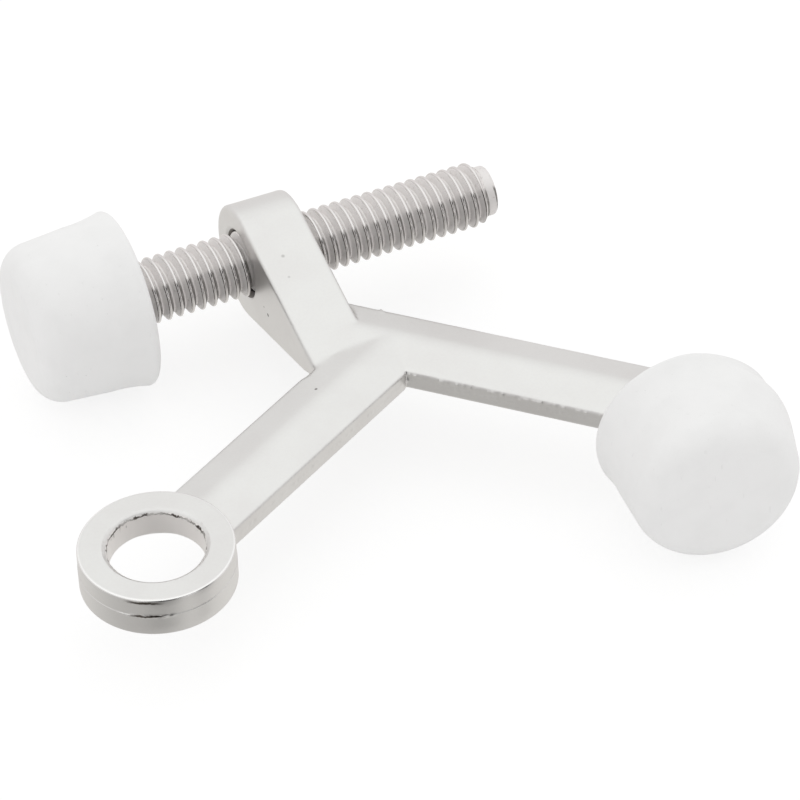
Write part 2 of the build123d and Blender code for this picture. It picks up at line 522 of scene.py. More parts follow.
class Bench:
    """The node tree of a material or of the world, and the one way that nodes are added to it."""

    def __init__(self, owner: bpy.types.Material | bpy.types.World) -> None:
        """Empties the owner's node tree.

        Args:
            owner: The material or the world.
        """
        self.owner = owner
        owner.use_nodes = True
        self.tree = owner.node_tree
        self.tree.nodes.clear()
        self.place = self.node("TexCoord", {}, {}, "Object")

    @classmethod
    def material(cls, name: str) -> "Bench":
        """A bench for a new material."""
        return cls(bpy.data.materials.new(name))

    def node(self, kind: str, settings: dict[str, Any], sockets: dict[Any, Any], out: Any = 0) -> Signal:
        """Adds one node.

        Args:
            kind: The node's type, without its ShaderNode prefix.
            settings: Its settings, which are set first.
            sockets: The values or signals of its inputs.
            out: The output that is handed back.

        Returns:
            The output, or an empty signal where the node has none.
        """
        made = self.tree.nodes.new("ShaderNode" + kind)
        for key, value in settings.items():
            setattr(made, key, value)
        for key, value in sockets.items():
            if isinstance(value, Signal):
                self.tree.links.new(value.socket, made.inputs[key])
            elif isinstance(value, tuple) and made.inputs[key].type == "RGBA":
                made.inputs[key].default_value = (*value, 1.0)
            else:
                made.inputs[key].default_value = value
        return Signal(self, made.outputs[out] if made.outputs else None)

    def noise(self, size: float, detail: float = 2.0, where: Signal | None = None) -> Signal:
        """Cloudy noise.

        Args:
            size: The size of its patches, in metres.
            detail: How many finer layers it has.
            where: The coordinates, or the object's own.

        Returns:
            The noise, mostly from 0.3 to 0.7.
        """
        sockets = {"Vector": where or self.place, "Scale": 1 / size, "Detail": detail, "Roughness": 0.55}
        return self.node("TexNoise", {}, sockets)

    def stretch(self, scale: Sequence[float]) -> Signal:
        """The object's coordinates, scaled along each axis."""
        return self.node("Mapping", {}, {"Vector": self.place, "Scale": scale})

    def part(self, axis: str) -> Signal:
        """One of the object's own coordinates."""
        return self.node("SeparateXYZ", {}, {0: self.place}, axis)

    def radius(self, first: str, second: str, centre: Sequence[float]) -> Signal:
        """The distance from an axis that runs along the third coordinate.

        Args:
            first: One coordinate across the axis.
            second: The other coordinate across the axis.
            centre: Where the axis stands in those two.

        Returns:
            The distance.
        """
        across = self.part(first) - centre[0]
        up = self.part(second) - centre[1]
        return (across * across + up * up) ** 0.5

    def mix(self, share: Any, first: Any, second: Any) -> Signal:
        """A blend of two colours.

        Args:
            share: How much of the second colour there is.
            first: The first colour or signal.
            second: The second colour or signal.

        Returns:
            The blended colour.
        """
        return self.node("Mix", {"data_type": "RGBA"}, {0: share, 6: first, 7: second}, 2)

    def specks(self, cell: float, radius: float, keep: float) -> Signal:
        """Scattered round specks.

        Args:
            cell: The spacing of the places where a speck may be, in metres.
            radius: A speck's radius, in metres.
            keep: The share of the places that have one.

        Returns:
            1 inside a speck and 0 outside.
        """
        sockets = {"Vector": self.place, "Scale": 1 / cell}
        near = self.node("TexVoronoi", {}, sockets, "Distance")
        chance = self.node("SeparateColor", {}, {0: self.node("TexVoronoi", {}, sockets, "Color")})
        return near.fall(0.4 * radius / cell, radius / cell) * chance.fall(keep, keep + 0.01)

    def spot(self, centre: Sequence[float], radius: float) -> Signal:
        """One round mark at a place.

        Args:
            centre: The mark's middle.
            radius: The mark's radius.

        Returns:
            1 in its middle and 0 outside.
        """
        far = self.node("VectorMath", {"operation": "DISTANCE"}, {0: self.place, 1: centre}, "Value")
        return far.fall(0.35 * radius, radius)

    def surface(self, constants: dict[str, Any], varying: dict[str, Any]) -> bpy.types.Material:
        """Closes the material with its shader.

        Args:
            constants: Sockets that are the same all over.
            varying: Sockets that change over the surface.

        Returns:
            The finished material.
        """
        return self.close(self.node("BsdfPrincipled", {}, {**constants, **varying}))

    def close(self, shader: Signal) -> Any:
        """Leads a shader to the output and hands back the material or the world."""
        self.node("Output" + type(self.owner).__name__, {}, {"Surface": shader})
        return self.owner


@dataclass(frozen=True)
class Mark:
    """One dark mark: its place, how far it reaches and how dark it is."""

    at: Point
    reach: float
    dark: float


@dataclass(frozen=True)
class Streak:
    """One thin level streak of painted dark reflection: its place, how far it reaches and how thick it is.
    """

    at: Point
    reach: float
    thick: float


@dataclass(frozen=True)
class SatinNickel:
    """Fine blasted nickel plate over a zinc casting, with small casting pits, a painted highlight on the
    ring's rim, and painted shade and dark reflection in a few places.

    The places and sizes of its streaks and known pits are in millimetres, in the casting's frame.
    """

    body: Colour = (0.815, 0.812, 0.80)
    warm: Colour = (0.785, 0.775, 0.765)
    cut: Colour = (0.96, 0.945, 0.935)
    # Painted highlight colour for the outer edge of the ring's top.
    shiny: Colour = (0.99, 0.985, 0.98)
    # Near-black for the casting pits and for the painted shade and dark reflection marks.
    pit: Colour = (0.10, 0.085, 0.075)
    screw_y: float = 43.0 * MM
    mouth_r: float = 4.28 * MM
    bore_r: float = 5.35 * MM
    # Height of the painted shade line under the bore's upper rim.
    burr_z: float = 2.02 * MM
    ring_r: float = 8.65 * MM
    rim_z: float = 2.5 * MM
    # Painted dark reflection streaks on one side of the ring's wall.
    streaks_at: tuple[Streak, ...] = (
        Streak((-4.35, -7.45, 2.08), 2.5, 0.24),
        Streak((-4.10, -7.60, 0.20), 2.6, 0.17),
    )
    pits_at: tuple[Mark, ...] = (
        Mark((27.35, 34.62, -1.54), 0.30, 1.0),
        Mark((27.35, 35.80, -1.20), 0.16, 0.8),
        Mark((25.75, 16.37, 2.01), 0.24, 0.9),
        Mark((30.14, 35.94, 5.39), 0.30, 0.35),
        Mark((29.63, 33.04, 4.58), 0.22, 0.25),
    )

    def thread_mouth(self, bench: Bench) -> Signal:
        """The shadowed gap between the lug's hole and the screw."""
        out = bench.radius("Y", "Z", (self.screw_y, 0))
        return out.fall(self.mouth_r - 0.04 * MM, self.mouth_r + 0.02 * MM) * 0.93

    def bore_burr(self, bench: Bench) -> Signal:
        """Painted shade: a ragged dark line under the bore's upper rim, with flecks hanging from it.

        Args:
            bench: The material's bench.

        Returns:
            How dark each place is.
        """
        inside = bench.radius("X", "Y", (0, 0)).fall(self.bore_r + 0.12 * MM, self.bore_r + 0.2 * MM)
        waver = (bench.noise(0.5 * MM, 3) - 0.5) * (0.8 * MM)
        line = abs(bench.part("Z") - self.burr_z + waver).fall(0.06 * MM, 0.16 * MM)
        thick = bench.noise(1.7 * MM, 2).rise(0.40, 0.58)
        flecks = bench.noise(0.35 * MM, 3, bench.stretch((1.0, 1.0, 0.3))).rise(0.60, 0.68)
        hanging = bench.part("Z").rise(1.0 * MM, 1.9 * MM) * flecks * thick
        return inside * (line * (0.3 + 0.7 * thick)).most(hanging * 0.7)

    def tarnish(self, bench: Bench) -> Signal:
        """Painted dark reflection: streaks on one side of the ring's wall, under its rim and along the mould
        line.

        Args:
            bench: The material's bench.

        Returns:
            How dark each place is.
        """
        wall = bench.radius("X", "Y", (0, 0)).rise(self.ring_r - 0.25 * MM, self.ring_r - 0.15 * MM)
        waver = (bench.noise(0.6 * MM, 2) - 0.5) * (0.35 * MM)
        streaks = []
        for streak in self.streaks_at:
            near = bench.spot(Vector(streak.at) * MM, streak.reach * MM)
            off = abs(bench.part("Z") - streak.at[2] * MM + waver)
            streaks.append(near * off.fall(0.3 * streak.thick * MM, streak.thick * MM))
        return wall * reduce(Signal.most, streaks)

    def pits(self, bench: Bench) -> Signal:
        """Small casting pits: a few scattered ones and the ones with a known place."""
        known = [bench.spot(Vector(pit.at) * MM, pit.reach * MM) * pit.dark for pit in self.pits_at]
        return reduce(Signal.most, known, bench.specks(6.5 * MM, 0.13 * MM, 0.15) * 0.5)

    def rim(self, bench: Bench) -> Signal:
        """The outer edge of the ring's top, where a highlight is painted.

        Args:
            bench: The material's bench.

        Returns:
            1 on the edge and 0 elsewhere.
        """
        out = bench.radius("X", "Y", (0, 0))
        edge = out.rise(self.ring_r - 0.34 * MM, self.ring_r - 0.22 * MM)
        edge = edge * out.fall(self.ring_r, self.ring_r + 0.1 * MM)
        return edge * bench.part("Z").rise(self.rim_z - 0.2 * MM, self.rim_z - 0.1 * MM)

    def make(self) -> bpy.types.Material:
        """Makes the finish.

        Returns:
            The material.
        """
        bench = Bench.material("satin_nickel")
        cloud = bench.noise(7 * MM, 3)
        grain = bench.noise(0.09 * MM, 3)
        blast = bench.noise(0.30 * MM, 3)
        gouge = bench.noise(0.7 * MM, 3, bench.stretch((1.0, 1.0, 0.35)))
        bore = bench.radius("X", "Y", (0, 0)).fall(self.bore_r + 0.1 * MM, self.bore_r + 0.2 * MM)
        pits = self.pits(bench)
        rim = self.rim(bench)
        pits_and_painted_shade = [pits * 0.85, self.thread_mouth(bench), self.bore_burr(bench), self.tarnish(bench)]
        tone = bench.mix(cloud.rise(0.35, 0.7) * 0.7 + blast.rise(0.4, 0.65) * 0.3, self.body, self.warm)
        tone = bench.mix(bore, tone, self.cut)
        # Painted highlight: the ring's outer top edge is made lighter all the way round.
        tone = bench.mix(rim * 0.7, tone, self.shiny)
        # Real casting pits and the painted shade of the thread mouth, the bore's rim and the ring wall's
        # streaks all take the near-black.
        tone = bench.mix(reduce(Signal.most, pits_and_painted_shade), tone, self.pit)
        height = grain * 0.55 + blast * 0.45 + bore * gouge * 3 - pits * 3
        bump = {"Strength": 0.35, "Distance": 0.012 * MM, "Height": height}
        roughness = 0.30 + cloud * 0.06 + grain * 0.05 + pits * 0.3 + bore * 0.28 - rim * 0.12
        varying = {"Base Color": tone, "Roughness": roughness, "Normal": bench.node("Bump", {}, bump)}
        return bench.surface({"Metallic": 1.0}, varying)


@dataclass(frozen=True)
class PlatedSteel:
    """Bright zinc plate on a rolled thread, with rougher flanks and painted dark reflection lines beside the
    crests.
    """

    axis_at: tuple[float, float]
    root_r: float
    crest_r: float
    pitch: float
    phase_x: float
    plate: Colour = (0.83, 0.81, 0.80)
    dull: Colour = (0.86, 0.83, 0.82)
    grime: Colour = (0.22, 0.19, 0.17)
    # Near-black of the painted reflection lines beside the crests.
    seam: Colour = (0.13, 0.12, 0.11)
    # The way that the side with the heaviest painted reflection lines faces.
    tarnish_way: tuple[float, float] = (-0.97, -0.25)

    def turn_share(self, bench: Bench) -> Signal:
        """How far along the pitch a place lies after its turn's crest.

        Args:
            bench: The material's bench.

        Returns:
            The share of the pitch, from 0 to 1.
        """
        up = bench.part("Z") - self.axis_at[1]
        angle = up.math("ARCTAN2", up, bench.part("Y") - self.axis_at[0])
        along = (bench.part("X") - self.phase_x) / self.pitch - angle / (2 * math.pi)
        return along.math("FRACT", along)

    def tarnished_side(self, bench: Bench) -> Signal:
        """Where the side of the screw is on which the dark reflection lines are painted.

        Args:
            bench: The material's bench.

        Returns:
            1 on that side and 0 on the others.
        """
        across = bench.part("Y") - self.axis_at[0]
        up = bench.part("Z") - self.axis_at[1]
        facing = across * self.tarnish_way[0] + up * self.tarnish_way[1]
        return (facing / bench.radius("Y", "Z", self.axis_at)).rise(0.46, 0.62)

    def seams(self, bench: Bench, height: Signal) -> Signal:
        """The painted dark reflection lines on both sides of the crests.

        Args:
            bench: The material's bench.
            height: The height within the thread, from 0 at its root to 1 at its crest.

        Returns:
            How dark each place is.
        """
        dark_side = self.tarnished_side(bench)
        turn = self.turn_share(bench)
        both = height.rise(0.70, 0.76) * height.fall(0.88, 0.93) * (0.18 + 0.5 * dark_side)
        after = turn.rise(0.06, 0.10) * turn.fall(0.34, 0.44) * dark_side
        broken = bench.noise(0.8 * MM, 2).rise(0.30, 0.55)
        return both.most(after) * (0.50 + 0.38 * broken)

    def make(self) -> bpy.types.Material:
        """Makes the finish.

        Returns:
            The material.
        """
        bench = Bench.material("plated_steel")
        height = (bench.radius("Y", "Z", self.axis_at) - self.root_r) / (self.crest_r - self.root_r)
        flank = height.fall(0.70, 0.78)
        cloud = bench.noise(2.2 * MM, 3)
        rolled = bench.noise(0.22 * MM, 4, bench.stretch((1.6, 1.0, 1.0)))
        stain = bench.noise(0.45 * MM, 3).rise(0.60, 0.72) * flank * height.fall(0.3, 0.6)
        nicks = bench.specks(1.3 * MM, 0.10 * MM, 0.14)
        worn = cloud.rise(0.35, 0.7) * 0.35 + flank * rolled.rise(0.40, 0.62) * 0.65
        tone = bench.mix(worn, self.plate, self.dull)
        tone = bench.mix(stain * 0.25 + nicks * 0.5, tone, self.grime)
        # Painted dark reflection: thin near-black lines beside the crests, heaviest on the side that faces
        # low and forward.
        tone = bench.mix(self.seams(bench, height), tone, self.seam)
        bump = {"Strength": 0.5, "Distance": 0.02 * MM, "Height": flank * rolled - nicks * 2}
        varying = {
            "Base Color": tone,
            "Metallic": 1 - 0.55 * flank,
            "Roughness": 0.07 + flank * 0.42 + rolled * 0.03,
            "Normal": bench.node("Bump", {}, bump),
        }
        return bench.surface({}, varying)


@dataclass(frozen=True)
class WhiteRubber:
    """Matt moulded rubber with a faint mottle, dust specks and a soft skin."""

    body: Colour = (0.90, 0.90, 0.90)
    shade: Colour = (0.875, 0.875, 0.875)
    speck: Colour = (0.50, 0.49, 0.48)

    def make(self) -> bpy.types.Material:
        """Makes the finish.

        Returns:
            The material.
        """
        bench = Bench.material("white_rubber")
        mottle = bench.noise(3.5 * MM, 3)
        skin = bench.noise(0.22 * MM, 3)
        dust = bench.specks(1.9 * MM, 0.10 * MM, 0.22)
        dents = bench.specks(2.7 * MM, 0.22 * MM, 0.16)
        scuff = bench.noise(0.5 * MM, 2, bench.stretch((1.0, 1.0, 0.25))).rise(0.66, 0.78)
        colour = bench.mix(mottle.rise(0.35, 0.8), self.body, self.shade)
        colour = bench.mix(dust * 0.45 + scuff * 0.12, colour, self.speck)
        height = skin * 0.6 - dents * 1.1 - dust * 0.6 - scuff * 0.5
        normal = bench.node("Bump", {}, {"Strength": 0.4, "Distance": 0.03 * MM, "Height": height})
        varying = {"Base Color": colour, "Roughness": 0.52 + mottle * 0.1, "Normal": normal}
        return bench.surface({"Specular IOR Level": 0.35}, varying)


@dataclass(frozen=True)
class Tie:
    """What ties a piece to the frame: its body and its CAD node, and how it is smoothed; its slot is not
    used.
    """

    body: str
    node: str
    slot: str
    crease_deg: float


class SubAssembly:
    """What every sub-assembly does with its built piece."""

    tie: Tie

    def build(self) -> Workpiece:
        """Makes the piece."""
        raise NotImplementedError

    def dress(self, piece: Workpiece, finish: bpy.types.Material) -> None:
        """Smooths a piece, gives it its finish and ties it to the frame.

        Args:
            piece: The built piece.
            finish: Its material.
        """
        obj = piece.finish(self.tie.crease_deg)
        obj.data.materials.clear()
        obj.data.materials.append(finish)
        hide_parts(self.tie.node)
        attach(obj, self.tie.body)
        count = sum(len(f.vertices) - 2 for f in obj.data.polygons)
        log.info("%s: %d triangles, rides on %s", obj.name, count, self.tie.body)


@dataclass
class Thread:
    """The right-hand thread that the screw and the lug share."""

    pitch: float
    axis_at: Vector
    crest_r: float = 3.93 * MM
    root_r: float = 3.07 * MM
    phase_x: float = 16.35 * MM
    steps: int = 56
    # From the crest outwards: shares of the pitch, and heights from the root (0) to the crest (1).
    crown: Outline = ((0.035, 1.0), (0.07, 0.975), (0.105, 0.92), (0.135, 0.84), (0.16, 0.74))
    fillet: Outline = ((0.405, 0.11), (0.42, 0.05), (0.435, 0.012), (0.46, 0.0))

    def outline(self, grow: float) -> Outline:
        """One pitch of the thread, root to root.

        Args:
            grow: The clearance added all round.

        Returns:
            Points as lengths along the axis from the crest, with their radii.
        """
        depth = self.crest_r - self.root_r
        spread = grow / self.pitch
        right = [
            (min(share + spread, 0.495) * self.pitch, self.root_r + grow + height * depth)
            for share, height in (*self.crown, *self.fillet)
        ]
        return [(-along, radius) for along, radius in reversed(right)] + right

    def bolt(self, name: str, start_x: float, end_x: float, grow: float = 0.0) -> Workpiece:
        """A threaded bar between two places on the axis.

        Args:
            name: The piece's name.
            start_x: Where it starts.
            end_x: Where it ends.
            grow: A clearance added all round.

        Returns:
            The closed threaded bar.
        """
        points = self.outline(grow)
        bar = Workpiece.line(name, [*points, (points[0][0] + self.pitch, points[0][1])])
        first = self.phase_x + (math.floor((start_x - self.phase_x) / self.pitch) - 1) * self.pitch
        bar.modify(
            "SCREW",
            axis="X",
            angle=2 * math.pi,
            screw_offset=self.pitch,
            iterations=math.ceil((end_x - start_x) / self.pitch) + 3,
            steps=self.steps,
            render_steps=self.steps,
            use_merge_vertices=True,
            merge_threshold=0.001 * MM,
        )
        onto_y = Matrix.Rotation(-math.pi / 2, 4, "X")
        bar.place(Matrix.Translation((first, self.axis_at.y, self.axis_at.z)) @ onto_y)
        bar.close_up()
        bar.slice((start_x, 0, 0), (-1, 0, 0), cut_off=True)
        bar.slice((end_x, 0, 0), (1, 0, 0), cut_off=True)
        return bar.close_up()


@dataclass
class AdjustingScrew(SubAssembly):
    """The plated screw: a flanged head inside its bumper, a long thread and a turned-down tip."""

    thread: Thread
    back: Vector
    tip_x: float
    head_x: float
    head_r: float
    head_t: float = 2.2 * MM
    shank_r: float = 3.3 * MM
    neck_at: float = 3.4 * MM
    tip_plain: float = 1.2 * MM
    tip_cone: float = 0.8 * MM
    tip_round: float = 0.25 * MM
    tie: Tie = Tie("screw", "threaded_rod", "plated_steel", 32)

    def along(self, x: float) -> Vector:
        """The point on the screw's axis at a place along X."""
        return Vector((x, self.back.y, self.back.z))

    def build(self) -> Workpiece:
        """Makes the screw.

        Returns:
            The finished piece.
        """
        over = 0.3 * MM
        cone_end = self.tip_x - self.tip_plain
        neck = self.back.x - self.neck_at
        screw = self.thread.bolt("adjusting_screw", neck, cone_end)
        outer = self.thread.crest_r + over
        trim = Workpiece.drum("screw_trim", outer, self.along(neck - over), self.along(cone_end), 96)
        trim.round_edges(self.rim_at(cone_end), self.tip_cone + over, 1)
        screw.combine(trim, Blend.TRIM)
        tip_ends = self.along(cone_end - MM), self.along(self.tip_x)
        tip = Workpiece.drum("screw_tip", self.thread.root_r, *tip_ends, 64)
        tip.round_edges(self.rim_at(self.tip_x), self.tip_round, 3)
        screw.combine(tip, Blend.JOIN)
        head_in = self.head_x + self.head_t
        shank_ends = self.along(head_in - over), self.along(neck + over)
        shank = Workpiece.drum("screw_shank", self.shank_r, *shank_ends, 64)
        head = Workpiece.drum("screw_head", self.head_r, self.along(self.head_x), self.along(head_in), 64)
        rims = self.rim_at(self.head_x), self.rim_at(head_in)
        head.round_edges(lambda e: any(rim(e) for rim in rims), self.head_t / 4, 2)
        return screw.combine(shank.combine(head, Blend.JOIN), Blend.JOIN)

    @staticmethod
    def rim_at(x: float) -> Place:
        """A test for the edges of a round end at a place along X."""
        return lambda e: all(abs(v.co.x - x) < NEAR for v in e.verts)


@dataclass
class Arm:
    """A flat-sided bar with a low roof above and below, along one level direction."""

    start: Vector
    heading: float
    length: float
    width: float
    edge_half_h: float = 1.25 * MM
    ridge_half_h: float = 2.4 * MM

    def across(self, place: Vector) -> float:
        """How far a place is from the arm's middle line, seen from above."""
        return (place - self.start).dot(level(self.heading + 90))

    def edge_at(self, y: float) -> Place:
        """A test for the unturned bar's lengthwise edges at a distance from its middle line.

        Args:
            y: The distance.

        Returns:
            The test.
        """

        def wanted(edge: Any) -> bool:
            """Whether an edge runs along the bar at that distance."""
            length = abs(edge.verts[0].co.x - edge.verts[1].co.x)
            return length > self.length / 2 and abs(abs(middle(edge).y) - y) < NEAR

        return wanted

    def build(self, name: str, edge_round: float, ridge_round: float) -> Workpiece:
        """Makes the bar.

        Args:
            name: The piece's name.
            edge_round: The rounding of its outline edges.
            ridge_round: The softening of its ridges.

        Returns:
            The bar, with square ends.
        """
        low = (0, -self.width / 2, -self.edge_half_h)
        bar = Workpiece.block(name, low, (self.length, self.width / 2, self.edge_half_h))
        bar.slice((0, 0, 0), (0, 1, 0))
        rise = self.ridge_half_h - self.edge_half_h
        for side in (1, -1):
            bar.shift(Pick.POINTS, lambda v: abs(v.co.y) < NEAR and v.co.z * side > 0, (0, 0, side * rise))
        bar.round_edges(self.edge_at(0), ridge_round, 4)
        bar.round_edges(self.edge_at(self.width / 2), edge_round, 3)
        turn = Matrix.Rotation(math.radians(self.heading), 4, "Z")
        return bar.place(Matrix.Translation(self.start) @ turn)


@dataclass
class CastBody(SubAssembly):
    """The casting: ring, two arms, teardrop lug with a threaded hole, and the fixed bumper's peg."""

    thread: Thread
    seat: Vector
    seat_heading: float
    ring_r: float = 8.65 * MM
    ring_half_h: float = 2.5 * MM
    bore_r: float = 5.35 * MM
    bore_chamfer: float = 0.4 * MM
    sink_top: float = -0.75 * MM
    rim_round: float = 0.22 * MM
    elbow: Vector = field(default_factory=lambda: Vector((37.4, 21.15, 0)) * MM)
    ring_arm_w: float = 9.2 * MM
    fixed_arm_w: float = 9.35 * MM
    fixed_heading: float = -43.8
    arm_root: float = 8.5 * MM
    lug_x: tuple[float, float] = (27.35 * MM, 34.8 * MM)
    lug_r: float = 7.1 * MM
    lug_flank: float = 15.7
    lug_round: float = 0.45 * MM
    lug_sink: float = 0.45 * MM
    nut_bore_r: float = 3.33 * MM
    gap: float = 0.12 * MM
    arm_end: float = 8.5 * MM
    outline_round: float = 0.25 * MM
    ridge_round: float = 0.9 * MM
    foot_y: float = 21.2 * MM
    foot_share: float = 0.08
    mould_step: float = 0.05 * MM
    ring_line_z: float = 0.18 * MM
    ring_line_heading: float = -122
    arm_line_z: float = 0.85 * MM
    burr_size: float = 0.45 * MM
    burr_push: float = 0.32 * MM
    peg_r: float = 2.6 * MM
    peg_l: float = 4.6 * MM
    peg_head_r: float = 4.8 * MM
    peg_head_t: float = 2.2 * MM
    voxel: float = 0.2 * MM
    tie: Tie = Tie("body", "cast_body", "satin_nickel", 32)

    def __post_init__(self) -> None:
        """Works out where the two arms lie."""
        heading = math.degrees(math.atan2(self.elbow.y, self.elbow.x))
        self.ring_arm = Arm(Vector((0, 0, 0)), heading, self.elbow.length + self.arm_root, self.ring_arm_w)
        start = self.elbow - level(self.fixed_heading) * self.arm_root
        reach = (self.seat - start).length + self.fixed_arm_w
        self.fixed_arm = Arm(start, self.fixed_heading, reach, self.fixed_arm_w)

    def arms(self) -> Workpiece:
        """Both arms, mitred at the elbow and cut back to the bumper's seat.

        Returns:
            The joined arms.
        """
        ring_arm = self.ring_arm.build("ring_arm", self.outline_round, self.ridge_round)
        bisector = level(self.ring_arm.heading) + level(self.fixed_heading)
        ring_arm.slice(self.elbow, bisector, cut_off=True)
        fixed_arm = self.fixed_arm.build("fixed_arm", self.outline_round, self.ridge_round)
        fixed_arm.slice(self.seat, level(self.seat_heading), cut_off=True)
        side = level(self.seat_heading + 90)
        fixed_arm.slice(self.seat + side * self.arm_end, side, cut_off=True)
        return ring_arm.combine(fixed_arm, Blend.JOIN)

    def lug(self) -> Workpiece:
        """The teardrop that stands on the elbow: a drum whose foot is drawn out almost to an edge.

        Returns:
            The lug, still without its hole.
        """
        centre_y = self.thread.axis_at.y
        flank = math.radians(self.lug_flank)
        touch_y = centre_y - self.lug_r * math.sin(flank)
        apex_y = centre_y - self.lug_r / math.sin(flank)
        ends = [Vector((x, centre_y, 0)) for x in self.lug_x]
        lug = Workpiece.drum("lug", self.lug_r, ends[0], ends[1], 128)
        lug.slice((0, touch_y, 0), (0, -1, 0), cut_off=True)
        lug.select(Pick.FACES, lambda f: f.normal.y < -0.999)
        drop = (apex_y - touch_y) * (1 - self.foot_share)
        bpy.ops.mesh.extrude_region_move(TRANSFORM_OT_translate={"value": (0, drop, 0)})
        bpy.ops.transform.resize(value=(1, 1, self.foot_share))
        rims = [AdjustingScrew.rim_at(x) for x in self.lug_x]
        above_foot = apex_y + 3 * MM
        return lug.round_edges(
            lambda e: any(rim(e) for rim in rims) and middle(e).y > above_foot, self.lug_round, 4
        )

    def crispness(self, place: Vector) -> float:
        """How far a place is from the nearest outline edge of an arm or of the lug.

        Args:
            place: The place.

        Returns:
            The distance.
        """
        nearest = 1.0
        for arm in (self.ring_arm, self.fixed_arm):
            gap = math.hypot(abs(arm.across(place)) - arm.width / 2, abs(place.z) - arm.edge_half_h)
            nearest = min(nearest, gap)
        flank = math.radians(self.lug_flank)
        y = place.y - self.thread.axis_at.y
        round_part = math.hypot(y, place.z) - self.lug_r
        flat_part = abs(place.z) * math.cos(flank) - y * math.sin(flank) - self.lug_r
        wall = flat_part if y < -abs(place.z) * math.tan(flank) else round_part
        for x in self.lug_x:
            nearest = min(nearest, math.hypot(place.x - x, wall))
        return nearest

    def softness(self, place: Vector) -> float:
        """How much a place is smoothed: fully on ridges and valleys, and not at outline edges.

        Args:
            place: The place.

        Returns:
            The share of smoothing, from 0 to 1.
        """
        foot = Vector((self.lug_x[0], self.foot_y, math.copysign(self.ring_arm.edge_half_h, place.z)))
        melted = 1 - ramp((place - foot).length, 1.6 * MM, 3.0 * MM)
        return max(ramp(self.crispness(place), 0.45 * MM, 1.3 * MM), melted)

    def ring(self) -> Workpiece:
        """The ring as a solid disc, with a dense band where the mould halves met.

        Returns:
            The disc.
        """
        r, h, e = self.ring_r, self.ring_half_h, self.rim_round
        step = r - self.mould_step
        band = [(r, self.ring_line_z - gap * MM) for gap in (1.38, 0.68, 0.38, 0.23, 0.10, 0)]
        band += [(step, self.ring_line_z + gap * MM) for gap in (0.06, 0.16, 0.27, 0.42, 0.72, 1.22)]
        below = bow((r - e, e - h), (e, e), 3, 4)
        above = bow((step - e, h - e), (e, e), 0, 4)
        flat = 0.2 * MM
        inner = self.bore_r + self.bore_chamfer + 2 * flat
        points = [(0, -h), *below, *band, *above, (step - e - flat, h), (inner, h), (0, h)]
        return Workpiece.lathe("ring", points, 288)

    def bore(self) -> Workpiece:
        """The cutter for the hinge-pin bore: chamfered above and deeply countersunk below.

        Returns:
            The cutter.
        """
        over = MM
        h, soft = self.ring_half_h, 0.12 * MM
        mouth = self.bore_r + self.bore_chamfer
        sink_r = self.bore_r + self.sink_top + h
        points = [
            (0, -h - over),
            (sink_r + over, -h - over),
            (self.bore_r, self.sink_top),
            (self.bore_r, h - self.bore_chamfer - soft),
            (self.bore_r + 0.3 * soft, h - self.bore_chamfer),
            (mouth - soft, h - soft),
            (mouth + soft, h),
            (mouth + over, h + over),
            (0, h + over),
        ]
        return Workpiece.lathe("bore", points, 192)

    def lug_mouths(self) -> Workpiece:
        """The cutter for the screw hole's two countersinks and its minor bore.

        Returns:
            The cutter.
        """
        over, lip = MM, 0.1 * MM
        depth = self.lug_x[1] - self.lug_x[0]
        mouth_r = self.thread.crest_r + self.gap + self.lug_sink
        mouth = [
            (0, -over),
            (mouth_r + over, -over),
            (mouth_r + 1.6 * lip, 0),
            (mouth_r + 0.5 * lip, 0.3 * lip),
            (mouth_r - lip, lip),
            (self.nut_bore_r, mouth_r - self.nut_bore_r),
        ]
        points = mouth + [(radius, depth - height) for radius, height in reversed(mouth)]
        start = Matrix.Translation((self.lug_x[0], self.thread.axis_at.y, 0))
        return Workpiece.lathe("lug_mouths", points, 96, start @ Matrix.Rotation(math.pi / 2, 4, "Y"))

    def peg(self) -> Workpiece:
        """The headed peg that holds the fixed bumper.

        Returns:
            The peg.
        """
        bevel = self.peg_head_t / 4
        root, tip = -0.5 * MM, self.peg_l + self.peg_head_t
        points = [
            (0, root),
            (self.peg_r, root),
            (self.peg_r, self.peg_l),
            (self.peg_head_r - bevel, self.peg_l),
            (self.peg_head_r, self.peg_l + bevel),
            (self.peg_head_r, tip - bevel),
            (self.peg_head_r - bevel, tip),
            (0, tip),
        ]
        return Workpiece.lathe("peg", points, 64, seated(self.seat, level(self.seat_heading)))

    def build(self) -> Workpiece:
        """Makes the casting.

        Returns:
            The finished piece.
        """
        casting = self.arms().combine(self.lug(), Blend.JOIN)
        casting.obj.name = "cast_body_casting"
        casting.modify("REMESH", mode="VOXEL", voxel_size=self.voxel, use_smooth_shade=True)
        casting.weigh("soft", self.softness)
        casting.modify("SMOOTH", factor=0.5, iterations=44, vertex_group="soft")
        ring = self.ring()
        self.roughen(casting, self.on_parting_line)
        self.roughen(ring, self.on_ring_line)
        casting.combine(ring, Blend.JOIN)
        casting.combine(self.peg(), Blend.JOIN)
        casting.combine(self.bore(), Blend.CUT)
        casting.combine(self.lug_mouths(), Blend.CUT)
        tap = self.thread.bolt("tap", self.lug_x[0] - 2 * MM, self.lug_x[1] + 2 * MM, self.gap)
        return casting.combine(tap, Blend.CUT)

    def roughen(self, piece: Workpiece, where: Callable[[Vector], float]) -> None:
        """Pushes a piece's skin in and out by fine noise, as flash on a parting line does.

        Args:
            piece: The piece.
            where: How much of the noise reaches a place, from 0 to 1.
        """
        burr = bpy.data.textures.get("burr") or bpy.data.textures.new("burr", "CLOUDS")
        burr.noise_scale = self.burr_size
        piece.weigh("parting", where)
        piece.modify(
            "DISPLACE",
            texture=burr,
            texture_coords="LOCAL",
            direction="NORMAL",
            strength=self.burr_push,
            mid_level=0.36,
            vertex_group="parting",
        )

